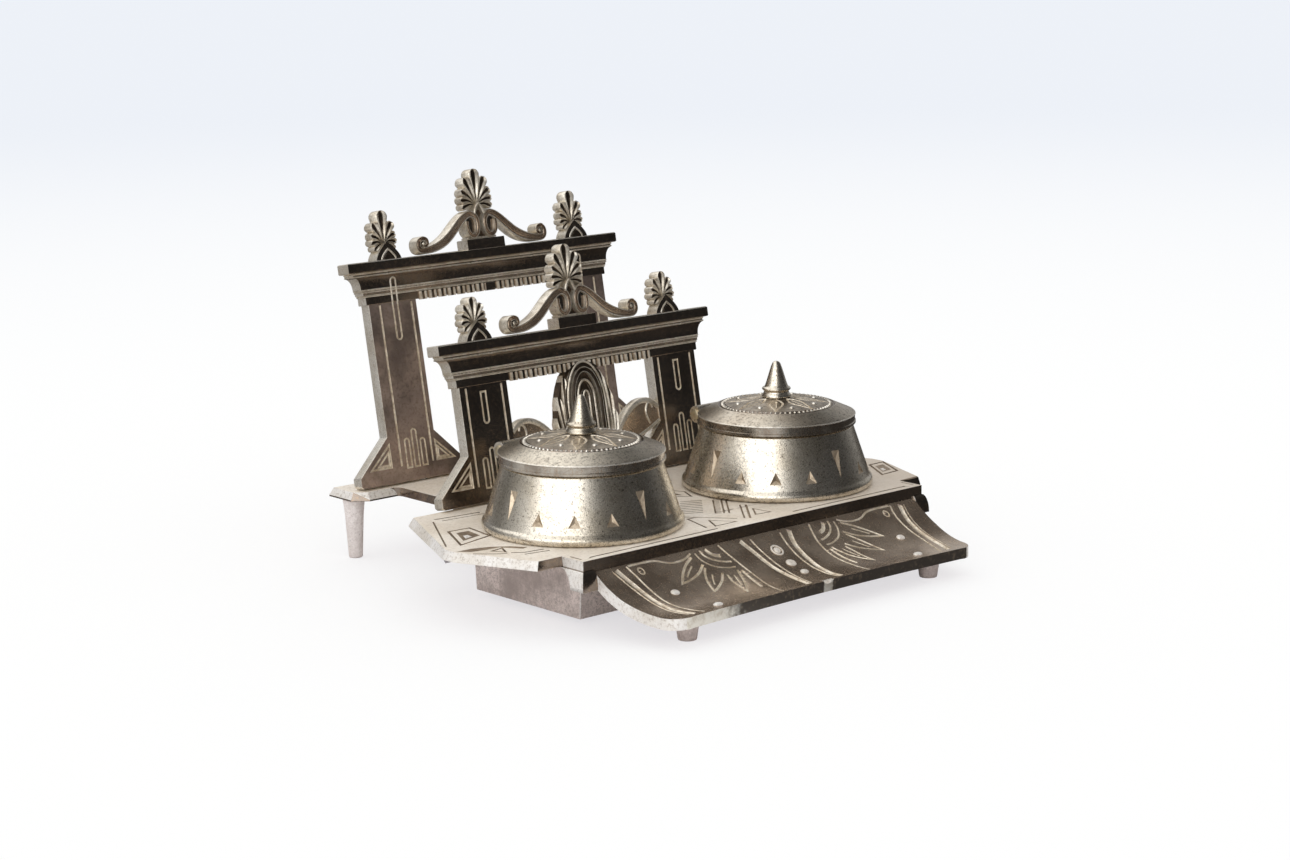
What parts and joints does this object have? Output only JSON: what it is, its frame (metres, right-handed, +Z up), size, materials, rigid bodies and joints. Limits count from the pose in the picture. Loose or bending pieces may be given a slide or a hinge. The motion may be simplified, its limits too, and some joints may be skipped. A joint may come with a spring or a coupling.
{
  "type": "desk inkstand",
  "caption": "Desk inkstand of cast plated brass with lidded inkpots, a pen tray and temple-front letter racks.",
  "frame": {"origin": "on the floor, in the middle of the whole outline, which runs from the lip of the pen tray to the back of the rear rack's crest", "axes": "+X to the sitter's right, along the width; +Y from the pen tray to the letter racks; +Z up"},
  "size_m": [0.2308, 0.219, 0.1533],
  "materials": {
    "plated_brass": "nickel-plated and tarnished, satin with polished high spots",
    "polished_edge": "polished plate that reflects dark",
    "cast_relief": "cast and plated, tarnished in the hollows",
    "raw_casting": "rough pinkish grey casting skin",
    "brass": "turned, dull",
    "glass": "clear, faintly green",
    "steel": "dull steel screws"
  },
  "bodies": {
    "stand": {"deck_plate": "plated_brass", "front_fascia": "polished_edge", "pen_tray": "cast_relief", "left_well_box": "raw_casting", "right_well_box": "raw_casting", "left_pot": "cast_relief", "right_pot": "cast_relief", "left_liner": "glass", "right_liner": "glass", "left_hinge_pin": "brass", "right_hinge_pin": "brass", "front_rack": "cast_relief", "rear_rack": "cast_relief", "front_pediment": "cast_relief", "rear_pediment": "cast_relief", "front_acroteria": "cast_relief", "rear_acroteria": "cast_relief", "fan_panel": "cast_relief", "left_front_foot": "raw_casting", "right_front_foot": "raw_casting", "left_rear_leg": "raw_casting", "right_rear_leg": "raw_casting", "pot_screws": "steel", "rack_screws": "steel", "tray_screws": "steel", "fascia_pins": "steel"},
    "left_lid_set": {"left_lid": "plated_brass", "left_knob": "polished_edge", "left_knob_nut": "brass"},
    "right_lid_set": {"right_lid": "plated_brass", "right_knob": "polished_edge", "right_knob_nut": "brass"}
  },
  "joints": [
    {"name": "left_lid_hinge", "type": "hinge", "parent": "stand", "child": "left_lid_set", "pos_m": [-0.0519, 0.01071, 0.0539], "axis": [-1, 0, 0], "range_deg": [0, 88]},
    {"name": "right_lid_hinge", "type": "hinge", "parent": "stand", "child": "right_lid_set", "pos_m": [0.0519, 0.01071, 0.0539], "axis": [-1, 0, 0], "range_deg": [0, 88]}
  ]
}
